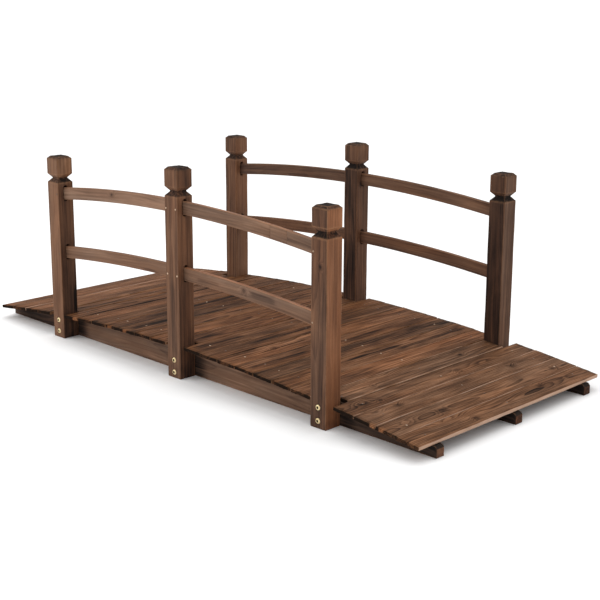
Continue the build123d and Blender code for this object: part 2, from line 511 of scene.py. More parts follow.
def dress(ob, name, u, v, w, pith, tone, wear, end, char_and_shade, knots=(), knot_uv=None, fig=None):
    """Writes the plank's own coordinates, its stain and its painted light and shade onto its points, for the fir
    material.
    """
    s = rnd(name, "seed") * 7.0
    off = np.array([s * 3.1, s * 1.7 + 0.4, s * 2.3 + 0.9])
    put(ob, "gc", np.stack([u, v, w], 1) + off)
    put(ob, "rc", np.stack([v - pith[0], w - pith[1], np.zeros_like(v)], 1))
    tone = np.asarray(tone, float)
    if tone.ndim == 1:
        tone = np.tile(tone, (len(u), 1))
    put(ob, "tone", tone)
    put(ob, "mask", np.stack([wear, end, char_and_shade], 1))
    ku, kv = (u, v) if knot_uv is None else knot_uv
    put(ob, "kn", knot_field(ku, kv, knots))
    put(ob, "fig", np.zeros(len(u)) if fig is None else fig)


# ---------------------------------------------------------------- deck boards


def ridges(u, v, w, seed, k=1.0):
    """Worn grain: long shallow ridges and hollows, never above the sawn face."""
    a = fbm(u / 0.26, v / 0.0085, w / 0.0085, 2, seed)
    b = fbm(u / 0.34, v / 0.022, w / 0.022, 1, seed + 5)
    return -k * (0.00030 * a + 0.00040 * b)


def board(node, x, length, tone, knots=(), scorches=(), checks=(), pith=None, edge=1.0, side=None, bright=(), figures=()):
    """A deck plank. u runs along it (+Y), v across it (-X), w up. knots are (u, v, radius) in mm;
    scorches (u0, v0, u1, v1, half width, strength); checks (u0, v0, u1, v1, width, depth). edge is how far the +X arris
    is rubbed pale, side the stain added on the +X edge's face, bright (v0, v1) a fresh, unstained bit of the -Y end,
    and figures (u, v, half length, half width, strength) where the rings swirl."""
    seed = int(rnd(node) * 9000)
    half = np.array([length / 2, (29.25 if "ramp" in node else 29.65), 4.5]) * MM
    r = 0.9 * MM
    us = rows(half[0], r, 11 * MM)
    vs = rows(half[1], r, 1.25 * MM)
    ws = rows(half[2], r, 3.1 * MM)
    p0, quads = lattice(us, vs, ws)
    e = edge_distance(p0, half)
    p = rounded(p0, half, r)
    n = normals(p, quads)
    u, v, w = p.T
    # rubbed and nicked arrises, ragged saw-cut ends
    nick = np.maximum(0, fbm(u / 0.045, v / 0.02, w / 0.02, 3, seed + 11) - 0.47) * 3.2
    close = smooth(3.2 * MM, 0.0, e)
    d = ridges(u, v, w, seed) - close * (0.00025 + 0.0011 * np.minimum(nick, 1.0))
    for (u0, v0, u1, v1, width, depth) in checks:
        s = np.clip((u / MM - u0) / (u1 - u0), 0, 1)
        path = v0 + (v1 - v0) * s + 1.2 * (noise(u / 0.02, 0.3, 0.1, seed + 17) - 0.5)
        along = smooth(0, 0.12, s) * smooth(1, 0.88, s)
        d -= np.where(w > 0, 1, 0.15) * along * depth * MM * smooth(width, 0.0, np.abs(v / MM - path))
    p = p + n * d[:, None]
    endness = smooth(half[0] - 14 * MM, half[0], np.abs(p0[:, 0]))
    ragged = 0.9 * fbm(v / 0.006, np.sign(u) * 3.0, w / 0.05, 3, seed + 3) + 1.6 * np.maximum(0, noise(v / 0.011, np.sign(u) * 5.0, 0.2, seed + 9) - 0.62)
    p[:, 0] -= np.sign(p0[:, 0]) * endness * ragged * 1.3 * MM
    u, v, w = p.T
    # slight cup, bow and twist of the plank
    cup = (rnd(node, "cup") - 0.55) * 0.9 * MM * (1 - (v / half[1]) ** 2)
    bow = (rnd(node, "bow") - 0.5) * 0.9 * MM * (1 - (u / half[0]) ** 2)
    twist = (rnd(node, "twist") - 0.5) * 0.9 * MM * (u / half[0]) * (v / half[1])
    skew = (rnd(node, "skew") - 0.5) * 0.9 * MM * (u / half[0])
    lift = (rnd(node, "lift") - 0.7) * 0.7 * MM
    short = (0.4 + 2.4 * rnd(node, "a")) * MM, (0.4 + 2.4 * rnd(node, "b")) * MM
    uu = u * (1 - (short[0] + short[1]) / (2 * half[0])) + (short[0] - short[1]) / 2
    xm = x * MM
    zt = float(deck_top(xm))
    slope = math.asin(xm / DECK_R)
    lx = -v + skew
    lz = w - half[2] + cup + bow + twist + lift
    world = np.stack(
        [xm + lx * math.cos(slope) + lz * math.sin(slope), uu, zt - lx * math.sin(slope) + lz * math.cos(slope)], 1
    )
    ob = mesh_object(node + "_wood", world, quads)
    end = smooth(half[0] - 1.2 * MM, half[0] - 0.1 * MM, np.abs(p0[:, 0]))
    plus_x = smooth(-half[1] + 5.0 * MM, -half[1] + 1.0 * MM, p0[:, 1])
    flank = (p0[:, 1] < -half[1] + 1e-5) * (1.0 if side is not None else 0.6)
    broken = 0.8 + 0.35 * smooth(0.3, 0.6, fbm(u / 0.07, v / 0.05, w / 0.05, 2, seed + 47))
    wear = smooth(2.6 * MM, 0.4 * MM, e) * (1 - plus_x) * 0.45
    wear += np.maximum(smooth(2.8 * MM, 1.2 * MM, e) * broken, flank) * plus_x * edge
    wear *= 1 - 0.85 * end
    char_and_shade = np.zeros(len(u))
    for (u0, v0, u1, v1, hw, k) in scorches:
        s = np.clip((u / MM - u0) / (u1 - u0), 0, 1)
        path = v0 + (v1 - v0) * s + 4.0 * (noise(u / 0.055, 0.7, 0.2, seed + 23) - 0.5)
        wide = hw * (0.55 + 0.9 * noise(u / 0.05, 1.9, 0.4, seed + 29))
        along = smooth(0, 0.15, s) * smooth(1, 0.85, s)
        char_and_shade = np.maximum(char_and_shade, k * along * smooth(1.15, 0.45, np.abs(v / MM - path) / wide))
    for (u0, v0, u1, v1, width, depth) in checks:
        s = np.clip((u / MM - u0) / (u1 - u0), 0, 1)
        path = v0 + (v1 - v0) * s + 1.2 * (noise(u / 0.02, 0.3, 0.1, seed + 17) - 0.5)
        along = smooth(0, 0.12, s) * smooth(1, 0.88, s)
        char_and_shade = np.maximum(char_and_shade, along * smooth(width * 1.3, width * 0.4, np.abs(v / MM - path)))
    # the sawn ends are darkened unevenly
    blot = fbm(v / 0.03, np.sign(u) * 2.0, 0.3, 2, seed + 41)
    char_and_shade = np.maximum(char_and_shade, end * (0.25 + 0.85 * smooth(0.3, 0.55, blot)))
    char_and_shade = np.maximum(char_and_shade, 0.45 * smooth(half[0] - 9 * MM, half[0] - 1 * MM, np.abs(p0[:, 0])) * smooth(0.35, 0.6, blot))
    tone = np.tile(np.asarray(tone, float), (len(u), 1))
    if side is not None:
        tone += ((p0[:, 1] < -half[1] + 1e-5) & (end < 0.5))[:, None] * np.asarray(side, float)
    for (b0, b1) in bright:
        wob = b0 + 3 * (noise(u / 0.004, w / 0.004, 0.2, seed + 43) - 0.5)
        fresh = smooth(b0 - 3 + (wob - b0), b0 + 2 + (wob - b0), v / MM) * smooth(b1 + 2, b1 - 3, v / MM)
        fresh *= smooth(-half[0] + 9 * MM, -half[0] + 3 * MM, p0[:, 0])
        tone += fresh[:, None] * np.array([0.17, 0.55, -0.1])
        char_and_shade *= 1 - 0.95 * fresh
        end = end * (1 - fresh)
    if pith is None:
        pith = ((rnd(node, "pv") - 0.5) * 0.09, -(0.012 + 0.055 * rnd(node, "pw")))
    fig = np.zeros(len(u))
    for (fu, fv, fl, fw, k) in figures:
        du, dv = (u / MM - fu) / fl, (v / MM - fv) / fw
        fig = np.maximum(fig, k * np.exp(-(du * du + dv * dv)))
    dress(ob, node, u, v, w, pith, tone, wear, end, char_and_shade, [(a * MM, b * MM, c * MM) for a, b, c in knots], fig=fig)
    return piece(ob, node, M_DECK)


# tone: lightness, warmth, greyness
BOARDS = {
    "left_ramp_board_4": dict(tone=(0.04, 0.2, 0.0), edge=1.6),
    "left_ramp_board_3": dict(tone=(0.04, 0.3, 0.0), edge=2.4),
    "left_ramp_board_2": dict(tone=(0.11, 0.3, 0.0), edge=1.6),
    "left_ramp_board_1": dict(tone=(-0.03, 0.1, 0.0), edge=1.2),
    "left_post_board": dict(tone=(-0.02, 0.1, 0.0)),
    "left_bay_board_7": dict(tone=(-0.08, 0.1, 0.0), bright=[(-29, -9)], scorches=[(-330, -28, 330, -28, 5, 1.0)], edge=0.1),
    "left_bay_board_6": dict(tone=(0.00, 0.3, 0.0), scorches=[(-300, 28, 300, 28, 4, 0.9)], edge=1.6),
    "left_bay_board_5": dict(tone=(-0.06, 0.1, 0.0)),
    "left_bay_board_4": dict(tone=(-0.12, 0.1, 0.0), bright=[(6, 24)], scorches=[(-120, 10, 180, 12, 8, 0.5)]),
    "left_bay_board_3": dict(tone=(-0.15, 0.1, 0.1), bright=[(4, 18)], scorches=[(-320, 4, -180, 2, 9, 0.7)]),
    "left_bay_board_2": dict(tone=(-0.05, 0.2, 0.0), scorches=[(-60, 6, 60, 2, 6, 0.5)]),
    "left_bay_board_1": dict(tone=(-0.03, 0.3, 0.0), edge=1.7),
    "middle_post_board": dict(tone=(-0.09, 0.4, 0.1)),
    "right_bay_board_1": dict(tone=(-0.02, 0.2, 0.1), scorches=[(-320, 8, -150, 4, 8, 0.5)]),
    "right_bay_board_2": dict(tone=(-0.08, 0.1, 0.1), checks=[(-300, -28, 40, -29, 2.0, 2.0)], scorches=[(-200, 10, 120, 4, 8, 0.4)]),
    "right_bay_board_3": dict(tone=(0.11, 0.4, 0.1), knots=[(-170, 6, 6)], checks=[(-260, -2, -60, 3, 1.6, 1.4)]),
    "right_bay_board_4": dict(tone=(0.02, 0.25, 0.1), scorches=[(-330, -8, -120, -4, 9, 0.5), (-40, -12, 330, -8, 10, 0.35)]),
    "right_bay_board_5": dict(tone=(-0.04, 0.0, 0.3), scorches=[(-120, 10, 330, 6, 15, 0.35)]),
    "right_bay_board_6": dict(tone=(0.05, 0.2, 0.1), scorches=[(-190, 15, 100, 8, 6, 0.8), (40, -9, 330, -2, 8, 0.75)], edge=1.8),
    "right_bay_board_7": dict(tone=(0.07, 0.45, 0.1), edge=1.9, pith=(0.006, -0.02)),
    "right_post_board": dict(tone=(0.06, 0.1, 0.5), figures=[(-108, 18, 40, 12, 0.5)], knots=[(-173, -5, 3.5), (145, -2, 5)], edge=2.2),
    "right_ramp_board_1": dict(tone=(0.02, 0.15, 0.4), figures=[(-264, 8, 30, 11, 0.8), (-150, -4, 60, 10, 0.4), (150, 6, 60, 10, 0.35)], knots=[(60, 0, 5), (-218, -6, 4)], edge=2.3, pith=(0.010, -0.016)),
    "right_ramp_board_2": dict(tone=(0.09, 0.1, 0.5), figures=[(-276, 10, 32, 12, 0.8), (-80, -6, 60, 10, 0.35), (80, 8, 70, 10, 0.3)], knots=[(-206, 12, 6), (190, 1, 6.5)], edge=2.3, bright=[(-29, -14)]),
    "right_ramp_board_3": dict(tone=(0.11, 0.1, 0.5), figures=[(-262, 2, 30, 12, 0.7), (20, 4, 80, 10, 0.3), (200, -8, 60, 9, 0.3)], knots=[(-150, -3, 7.5), (263, -2, 5)], edge=2.3, bright=[(8, 22)], pith=(-0.004, -0.012)),
    "right_ramp_board_4": dict(tone=(0.09, 0.1, 0.4), figures=[(-175, 18, 60, 11, 0.9), (-20, 8, 70, 10, 0.35), (230, 4, 50, 10, 0.35)], knots=[(-118, -8, 5), (149, 14, 4)], pith=(0.004, -0.010), edge=2.4, side=(0.0, 0.0, 0.0)),
}
for node, spec in BOARDS.items():
    lo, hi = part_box(node)
    mid = (lo.x + hi.x) / 2 / MM
    board(node, mid + 4.5 * mid * MM / DECK_R, (hi.y - lo.y) / MM, **spec)


# ---------------------------------------------------------------- stringers


def stringer(node, tone):
    lo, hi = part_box(node)
    seed = int(rnd(node) * 9000)
    y = (lo.y + hi.y) / 2
    half = np.array([(hi.x - lo.x) / 2, (hi.y - lo.y) / 2, 0.05])
    r = 1.0 * MM
    cut = 6 * MM
    us = rows(half[0], r, 9 * MM, [s * (half[0] - cut) for s in (-1, 1)])
    vs = rows(half[1], r, 4 * MM)
    ws = rows(half[2], r, 3.2 * MM)
    p0, quads = lattice(us, vs, ws)
    radius = DECK_R - 9 * MM
    crown = DECK_Z - 9 * MM

    def top(x):
        arc = crown - (radius - np.sqrt(radius**2 - x**2))
        end = half[0] - cut
        arc_end = crown - (radius - math.sqrt(radius**2 - end**2))
        return np.minimum(arc, arc_end - (np.abs(x) - end))

    x = p0[:, 0]
    h = top(x)
    z = (p0[:, 2] / half[2] + 1) / 2 * h
    # round the arrises in real sizes: distances to the five faces at this station
    q = np.stack([x, p0[:, 1], z - h / 2], 1)
    hh = np.stack([np.full_like(x, half[0]), np.full_like(x, half[1]), h / 2], 1)
    e = np.sort(np.abs(hh - np.abs(q)), axis=1)[:, 1]
    inner = np.clip(q, -(hh - r), hh - r)
    d = q - inner
    q = inner + d / np.maximum(np.linalg.norm(d, axis=1, keepdims=True), 1e-12) * r
    n = normals(q, quads)
    u, v, w = q[:, 0], q[:, 2], q[:, 1]
    saw = 0.00012 * (np.sin(u / 0.0031 * 2 * math.pi * 0.31 + 2 * noise(u / 0.2, v / 0.05, 0, seed)) + 1)
    nick = np.maximum(0, fbm(u / 0.05, v / 0.02, w / 0.02, 3, seed + 11) - 0.48) * 3
    disp = ridges(u, v, w, seed, 0.8) - saw - smooth(3 * MM, 0, e) * 0.0009 * np.minimum(nick, 1)
    disp = np.where((q[:, 2] < -h / 2 + 0.3 * MM) & (n[:, 2] < -0.8), 0, disp)
    q = q + n * disp[:, None]
    world = np.stack([q[:, 0], y + q[:, 1], np.maximum(q[:, 2] + h / 2, 0)], 1)
    ob = mesh_object(node + "_wood", world, quads)
    end = smooth(half[0] - 1.0 * MM, half[0] - 0.1 * MM, np.abs(p0[:, 0]))
    wear = smooth(2.4 * MM, 0.4 * MM, e) * 0.8
    # a dark band along the top: char, deepened as painted shadow under the deck boards' overhang
    char_and_shade = 0.75 * smooth(16 * MM, 2 * MM, h - world[:, 2]) * (0.5 + fbm(u / 0.06, v / 0.02, 0.2, 2, seed + 2))
    char_and_shade *= 1 - 0.9 * end
    wear *= 1 - 0.8 * smooth(half[0] - 6 * MM, half[0] - 2 * MM, np.abs(p0[:, 0]))
    # painted shade: the stringer darkened beside each post
    for post_x in (-P, 0.0, P):
        gap = np.abs(u - post_x) - 23.1 * MM
        char_and_shade = np.maximum(char_and_shade, 0.8 * smooth(55 * MM, 6 * MM, gap) * smooth(-30 * MM, 0, gap))
    tone = np.tile(np.asarray(tone, float), (len(u), 1))
    # painted shade: darker beyond the end posts, where the ramp boards overhang the stringer
    tone[:, 0] -= 0.42 * smooth(0.49, 0.53, np.abs(u)) * (1 - end)
    tone += end[:, None] * np.array([0.02, 1.0, -0.3])
    dress(ob, node, u, v, w, ((rnd(node, "pv") - 0.5) * 0.05, 0.03 + 0.02 * rnd(node, "pw")), tone, wear, end, np.clip(char_and_shade, 0, 1))
    return piece(ob, node, M_STRINGER)


stringer("near_stringer", (0.13, 0.1, 0.6))
stringer("middle_stringer", (-0.12, 0.1, 0.1))
stringer("far_stringer", (-0.10, 0.1, 0.2))


# ---------------------------------------------------------------- rails

RAIL_CURVES = {"top": (0.4265, 3.870), "lower": (0.2700, 4.300)}
RAIL_HEIGHT = 31.5


def rail(node, tone, seams=(), knots=(), scorches=(), upper=(0.03, 0.3, -0.2)):
    """A sawn arc between two posts. seams are x in mm where two staves are finger-jointed end to end; upper is the tone
    added where the face turns upward."""
    lo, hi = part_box(node)
    seed = int(rnd(node) * 9000)
    crown, radius = RAIL_CURVES["top" if "top" in node else "lower"]
    y = (lo.y + hi.y) / 2
    xm = (lo.x + hi.x) / 2
    height = RAIL_HEIGHT * MM
    half = np.array([(hi.x - lo.x) / 2, (hi.y - lo.y) / 2, height / 2])
    r = 1.3 * MM
    extra = [s * MM - xm + d * MM for s in seams for d in (-0.5, -0.15, 0.15, 0.5)]
    us = rows(half[0], r, 8 * MM, extra)
    vs = rows(half[1], r, 2.4 * MM)
    ws = rows(half[2], r, 1.35 * MM)
    p0, quads = lattice(us, vs, ws)
    e = edge_distance(p0, half)
    p = rounded(p0, half, r)
    n = normals(p, quads)
    u, v, w = p[:, 0] + xm, p[:, 2], p[:, 1]
    nick = np.maximum(0, fbm(u / 0.05, v / 0.02, w / 0.02, 3, seed + 11) - 0.48) * 3
    groove = np.zeros(len(u))
    for s in seams:
        groove = np.maximum(groove, smooth(0.6, 0.1, np.abs(u / MM - s)))
    disp = ridges(u, v, w, seed, 0.8) - smooth(2.6 * MM, 0, e) * (0.0001 + 0.0004 * np.minimum(nick, 1)) - groove * 0.00025
    p = p + n * disp[:, None]
    xx = p[:, 0] + xm
    z = crown - (radius - np.sqrt(radius**2 - xx**2)) - height / 2 + p[:, 2]
    ob = mesh_object(node + "_wood", np.stack([xx, y + p[:, 1], z], 1), quads)
    tone = np.tile(np.asarray(tone, float), (len(u), 1))
    stave = np.zeros(len(u), int)
    for s in seams:
        stave += (u / MM > s).astype(int)
    jump = np.array([rnd(node, "stave", k) for k in range(len(seams) + 1)])
    tone[:, 0] += (jump[stave] - 0.5) * 0.10 * (1 if len(seams) else 0)
    tone += smooth(0.55, 0.85, n[:, 2])[:, None] * np.asarray(upper, float)
    end = np.zeros(len(u))
    wear = smooth(2.3 * MM, 0.4 * MM, e)
    char_and_shade = np.zeros(len(u))
    for (u0, v0, u1, v1, hw, k) in scorches:
        s = np.clip((u / MM - u0) / (u1 - u0), 0, 1)
        path = v0 + (v1 - v0) * s
        char_and_shade = np.maximum(char_and_shade, k * smooth(0, 0.2, s) * smooth(1, 0.8, s) * smooth(1.1, 0.4, np.abs(v / MM - path) / hw))
    char_and_shade = np.maximum(char_and_shade, 0.65 * groove)
    # the upper edge took the flame
    char_and_shade = np.maximum(char_and_shade, 0.35 * smooth(0.6, 0.95, n[:, 2]) * smooth(0.3, 0.6, fbm(u / 0.08, v / 0.05, w / 0.01, 2, seed + 8)))
    dress(ob, node, u, v + stave * 0.31, w, ((rnd(node, "pv") - 0.5) * 0.05, 0.025 + 0.03 * rnd(node, "pw")), tone, wear, end, char_and_shade,
          [(a * MM, b * MM, c * MM) for a, b, c in knots], (u, v))
    return piece(ob, node, M_RAIL)


rail("near_left_top_rail", (0.22, 0.1, 0.6), knots=[(-250, 4, 4)])
rail("near_left_lower_rail", (0.12, 0.1, 0.35))
rail("near_right_top_rail", (0.16, 0.1, 0.35), seams=(312, 364), scorches=[(240, 0, 470, -2, 9, 0.3)], upper=(0.12, 0.7, -0.3))
rail("near_right_lower_rail", (0.14, 0.1, 0.35), knots=[(228, 4, 4.5)], scorches=[(240, 3, 335, 1, 8, 0.5), (60, -4, 150, -2, 6, 0.25)], upper=(0.22, 1.0, -0.5))
rail("far_left_top_rail", (-0.13, 0.05, 0.3))
rail("far_left_lower_rail", (-0.04, 0.1, 0.1))
rail("far_right_top_rail", (0.00, 0.05, 0.2))
rail("far_right_lower_rail", (-0.07, 0.1, 0.0))


# ---------------------------------------------------------------- posts

GROOVE_DEPTH, GROOVE_HALF, HEAD, CROWN = 9.2, 10.7, 39.5, 6.3
SLOT_W, SLOT_H, SLOT_D, SLOT_BELOW = 14.0, 40.5, 14.0, 4.2


def slot_cutter(x, side, y, zc):
    """The round-ended mortise as a closed prism, in metres, reaching out past the face."""
    r = SLOT_W / 2
    pts = []
    for k in range(25):
        a = math.pi * k / 24
        pts.append((r * math.cos(a), SLOT_H / 2 - r + r * math.sin(a)))
    for k in range(25):
        a = math.pi + math.pi * k / 24
        pts.append((r * math.cos(a), -(SLOT_H / 2 - r) + r * math.sin(a)))
    x0, x1 = x - side * SLOT_D, x + side * 4
    m = len(pts)
    verts = [(x0 * MM, (y + a) * MM, (zc + b) * MM) for a, b in pts]
    verts += [(x1 * MM, (y + a) * MM, (zc + b) * MM) for a, b in pts]
    # pts turn from +Y to +Z, so their loop faces +X
    loop0, loop1 = list(range(m)), list(range(m, 2 * m))
    faces = []
    if side > 0:
        faces += [loop0[::-1], loop1]
        faces += [(k, (k + 1) % m, m + (k + 1) % m, m + k) for k in range(m)]
    else:
        faces += [loop0, loop1[::-1]]
        faces += [(k, m + k, m + (k + 1) % m, (k + 1) % m) for k in range(m)]
    return mesh_object("cutter", verts, faces, False)


def bolt_cutter(x, y, z, face):
    """A shallow dished seat for a bolt's head, pressed into the post's outer face. face is -1 or 1 along Y."""
    verts, faces, m = [], [], 40
    prof = [(7.35, 4.0), (7.35, 0.0), (7.1, -0.9), (6.8, -1.9), (6.5, -4.2)]
    for rr, out in prof:
        for k in range(m):
            a = 2 * math.pi * k / m
            verts.append(((x + rr * math.cos(a)) * MM, (y + face * out) * MM, (z + rr * math.sin(a)) * MM))
    for j in range(len(prof) - 1):
        for k in range(m):
            a, b = j * m + k, j * m + (k + 1) % m
            q = (a, b, b + m, a + m)
            faces.append(q if face < 0 else q[::-1])
    top, bottom = list(range(m)), list(range((len(prof) - 1) * m, len(prof) * m))
    faces.append(top[::-1] if face < 0 else top)
    faces.append(bottom if face < 0 else bottom[::-1])
    return mesh_object("cutter", verts, faces, False)


def outward(ob):
    """Turns a closed mesh's faces outwards if its volume comes out negative."""
    me = ob.data
    me.calc_loop_triangles()
    vol = 0.0
    for tri in me.loop_triangles:
        a, b, c = (me.vertices[i].co for i in tri.vertices)
        vol += a.dot(b.cross(c))
    if vol < 0:
        me.flip_normals()


def cut(ob, cutters):
    for c in cutters:
        outward(c)
        m = ob.modifiers.new("cut", "BOOLEAN")
        m.operation, m.solver, m.object = "DIFFERENCE", "EXACT", c
    bpy.context.view_layer.update()
    dg = bpy.context.evaluated_depsgraph_get()
    me = D.meshes.new_from_object(ob.evaluated_get(dg))
    ob.modifiers.clear()
    ob.data = me
    for c in cutters:
        D.objects.remove(c)
    return ob


BOLT_Z = {"middle": (43.5, 13.5), "end": (46.5, 16.5)}


def post(node, tones, mortises, scorches=(), low=(0, 0, 0, 0), head=(0, 0, 0, 0), groove=0.6, rub=1.0, knots=()):
    """A square post with its head, groove and mortises. tones: one tone for each of the faces -Y, +X, +Y, -X and the
    crown, stain together with painted light and shade;
    low and head: lightness added to those four faces near the foot and on the head, stain together with painted light
    and shade; groove: how charred the groove is;
    knots: (face, across, height, radius)."""
    lo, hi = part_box(node)
    seed = int(rnd(node) * 9000)
    x, y = (lo.x + hi.x) / 2, (lo.y + hi.y) / 2
    side = (hi.x - lo.x) / 2 / MM
    height = hi.z / MM
    outer = -1 if y < 0 else 1
    head_top = height - CROWN
    head_base = head_top - HEAD
    neck = head_base - GROOVE_HALF
    shoulder = neck - GROOVE_HALF
    keys = [0, 1.2, shoulder, neck, head_base, head_top, height]
    zs = set()
    for a, b in zip(keys[:-1], keys[1:]):
        n = max(1, int(round((b - a) / (5.0 if b <= shoulder else 2.2))))
        zs.update(round(float(t), 4) for t in np.linspace(a, b, n + 1))
    # eased rows either side of each corner of the profile
    for k in keys[2:-1]:
        zs.update(round(k + d, 4) for d in (-0.9, -0.35, 0.35, 0.9))
    zs = np.array(sorted(zs))
    zs = zs[np.concatenate([[True], np.diff(zs) > 0.2])]
    half_side = np.interp(
        zs,
        [0, 1.2, shoulder, neck, head_base, head_top, height],
        [side - 0.7, side, side, side - GROOVE_DEPTH, side, side, side - CROWN],
    )
    # ease the profile's corners a little
    ease = half_side.copy()
    for i in range(2, len(zs) - 2):
        w3 = np.exp(-(((zs - zs[i]) / 0.55) ** 2))
        ease[i] = (half_side * w3).sum() / w3.sum() if abs(zs[i] - neck) > 0.5 or True else half_side[i]
    half_side = ease
    r = 1.5
    base = rows(side, r, 1.9)
    p0, quads = lattice(zs, base, base)
    hs = np.interp(p0[:, 0], zs, half_side)
    a, b = p0[:, 1] / side * hs, p0[:, 2] / side * hs
    # round the four long arrises
    ia, ib = np.clip(a, -(hs - r), hs - r), np.clip(b, -(hs - r), hs - r)
    da, db = a - ia, b - ib
    dd = np.hypot(da, db)
    on_side = (np.abs(p0[:, 1]) >= side - 1e-6) | (np.abs(p0[:, 2]) >= side - 1e-6)
    scale = np.where(on_side & (dd > r), r / np.maximum(dd, 1e-9), 1)
    a, b = ia + da * scale, ib + db * scale
    local = np.stack([x / MM + a, y / MM + b, p0[:, 0]], 1) * MM
    ob = mesh_object(node + "_wood", local, quads)
    cutters = []
    for s in mortises:
        face_x = x / MM + s * side
        for crown, radius in RAIL_CURVES.values():
            fx = face_x * MM
            bottom = (crown - (radius - math.sqrt(radius**2 - fx**2))) / MM - RAIL_HEIGHT
            cutters.append(slot_cutter(face_x, s, y / MM, bottom - SLOT_BELOW + SLOT_H / 2))
    for z in BOLT_Z["middle" if "middle" in node else "end"]:
        cutters.append(bolt_cutter(x / MM, y / MM + outer * side, z, outer))
    cut(ob, cutters)
    me = ob.data
    nv = len(me.vertices)
    co = np.zeros(nv * 3)
    me.vertices.foreach_get("co", co)
    co = co.reshape(-1, 3)
    nn = np.zeros(nv * 3, np.float32)
    me.vertices.foreach_get("normal", nn)
    nn = nn.reshape(-1, 3).astype(float)
    ax, ay, z = co[:, 0] - x, co[:, 1] - y, co[:, 2]
    hs_at = np.interp(z / MM, zs, half_side) * MM
    # inside a mortise or a bolt's seat, away from the faces
    inside = (np.abs(ax) < hs_at - 0.6 * MM) & (np.abs(ay) < hs_at - 0.6 * MM) & (z > 0.5 * MM) & (z < (height - 0.6) * MM)
    corner = hs_at - np.minimum(np.abs(ax), np.abs(ay))
    groove_edge = np.min([np.abs(z / MM - k) for k in (shoulder, head_base, head_top)], axis=0) * MM
    e = np.minimum(corner, groove_edge)
    e = np.where(z / MM > height - 0.4, np.minimum(e, np.abs(side - CROWN - np.maximum(np.abs(ax), np.abs(ay)) / MM) * MM), e)
    nick = np.maximum(0, fbm(ax / 0.012, ay / 0.012, z / 0.05, 3, seed + 11) - 0.46) * 3
    disp = ridges(z, ax, ay, seed, 0.75) - smooth(3.2 * MM, 0, e) * (0.0001 + 0.0006 * np.minimum(nick, 1))
    disp = np.where(inside, 0, disp)
    disp = np.where(z < 0.3 * MM, 0, disp)
    new = co + nn * disp[:, None]
    new[:, 2] = np.clip(new[:, 2], 0, hi.z)
    me.vertices.foreach_set("co", new.ravel())
    me.update()
    me.polygons.foreach_set("use_smooth", np.ones(len(me.polygons), bool))
    # stain and painted light and shade by face, blended round the arrises, and changed near the foot and on the head
    face_dirs = np.array([(0, -1, 0), (1, 0, 0), (0, 1, 0), (-1, 0, 0), (0, 0, 1)], float)
    wgt = np.maximum(nn @ face_dirs.T, 0) ** 3
    wgt[:, 4] *= (z / MM > head_top - 0.5)
    wgt += 1e-6
    wgt /= wgt.sum(1, keepdims=True)
    tone = wgt @ np.array(tones, float)
    foot = smooth(0.62 * height, 0.12 * height, z / MM)
    tone[:, 0] += foot * (wgt[:, :4] @ np.array(low, float)) + (z / MM > neck) * (wgt[:, :4] @ np.array(head, float))
    wear = smooth(2.8 * MM, 0.5 * MM, e) * np.where(inside, 0, 1) * rub
    end = smooth(0.75, 0.95, nn[:, 2]) * (z / MM > height - 1.0) + smooth(-0.9, -0.98, nn[:, 2]) * (z < 1 * MM)
    # painted shade: the inside of each mortise and bolt seat is blackened
    char_and_shade = np.where(inside, 1.0, 0.0)
    # the flame caught the head's crown, the groove and the foot
    flick = fbm(ax / 0.02, ay / 0.02, z / 0.03, 3, seed + 19)
    char_and_shade = np.maximum(char_and_shade, 0.55 * smooth(head_top - 4, head_top + 2, z / MM) * (0.6 + 0.5 * flick))
    slope_zone = smooth(shoulder - 1, shoulder + 2, z / MM) * smooth(neck + 5, neck + 0.5, z / MM)
    char_and_shade = np.maximum(char_and_shade, groove * slope_zone * (0.6 + 0.7 * flick))
    char_and_shade = np.maximum(char_and_shade, 0.25 * smooth(60, 5, z / MM) * smooth(0.4, 0.65, flick))
    for (axis, a0, z0, z1, hw, k) in scorches:
        across = ax / MM if axis in ("-Y", "+Y") else ay / MM
        facing = {"-Y": -nn[:, 1], "+Y": nn[:, 1], "+X": nn[:, 0], "-X": -nn[:, 0]}[axis]
        s = smooth(z0 - 25, z0 + 15, z / MM) * smooth(z1 + 25, z1 - 15, z / MM)
        wob = 5 * (noise(z / 0.05, 0.1, 0.7, seed + 3) - 0.5)
        char_and_shade = np.maximum(char_and_shade, k * s * smooth(0.3, 0.7, facing) * smooth(1.1, 0.4, np.abs(across - a0 - wob) / hw))
    pith = ((rnd(node, "pv") - 0.5) * 0.10, (0.035 + 0.02 * rnd(node, "pw")) * (1 if rnd(node, "ps") > 0.5 else -1))
    dress(ob, node, z, ax, ay, pith, tone, wear, end, np.clip(char_and_shade, 0, 1))
    kn = np.full(nv, KNOT_NONE)
    for (axis, a0, z0, kr) in knots:
        across = ax if axis in ("-Y", "+Y") else ay
        facing = {"-Y": -nn[:, 1], "+Y": nn[:, 1], "+X": nn[:, 0], "-X": -nn[:, 0]}[axis]
        k = knot_field(z, across, [(z0 * MM, a0 * MM, kr * MM)])
        kn = np.where(facing > 0.6, np.minimum(kn, k), kn)
    me.attributes["kn"].data.foreach_set("value", kn.astype(np.float32))
    return piece(ob, node, M_POST)


